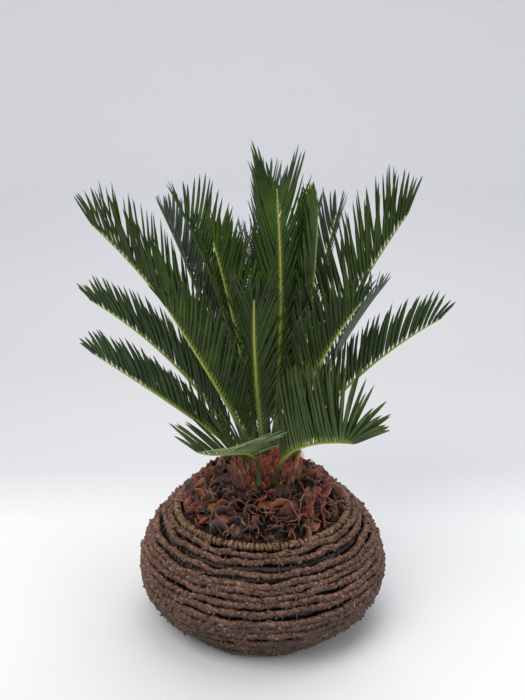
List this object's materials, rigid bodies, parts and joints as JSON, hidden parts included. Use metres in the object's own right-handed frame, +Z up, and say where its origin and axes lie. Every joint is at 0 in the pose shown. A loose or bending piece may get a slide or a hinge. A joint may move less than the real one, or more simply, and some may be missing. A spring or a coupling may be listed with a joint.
{
  "type": "potted sago palm",
  "caption": "Potted sago palm: a squat globe pot of coiled vine filled with curled bark, a short scaly trunk and a full crown of arching feathery fronds.",
  "frame": {"origin": "centre of the pot's flat underside", "axes": "+Z up through the trunk, -Y towards the side of the plant that is usually looked at"},
  "size_m": [0.3853, 0.3884, 0.5333],
  "materials": {
    "woven_vine": "rough dry vine stems, brown and grey",
    "wrapped_vine": "vine stem wrapped in tan fibre",
    "soil": "dark matte earth",
    "bark_mulch": "dry curled bark, reddish brown",
    "trunk_scales": "woolly orange-brown scales",
    "leaf": "satin dark green leaflets on a yellow-green rib"
  },
  "bodies": {
    "root": {"pot": "woven_vine", "rim_coil": "wrapped_vine", "soil": "soil", "bark_mulch": "bark_mulch", "trunk": "trunk_scales", "frond_01": "leaf", "frond_02": "leaf", "frond_03": "leaf", "frond_04": "leaf", "frond_05": "leaf", "frond_06": "leaf", "frond_07": "leaf", "frond_08": "leaf", "frond_09": "leaf", "frond_10": "leaf", "frond_11": "leaf", "frond_12": "leaf", "frond_13": "leaf", "frond_14": "leaf", "frond_15": "leaf", "frond_16": "leaf", "frond_17": "leaf", "frond_18": "leaf", "frond_19": "leaf", "frond_20": "leaf", "frond_21": "leaf", "frond_22": "leaf", "frond_23": "leaf", "frond_24": "leaf"}
  },
  "joints": []
}
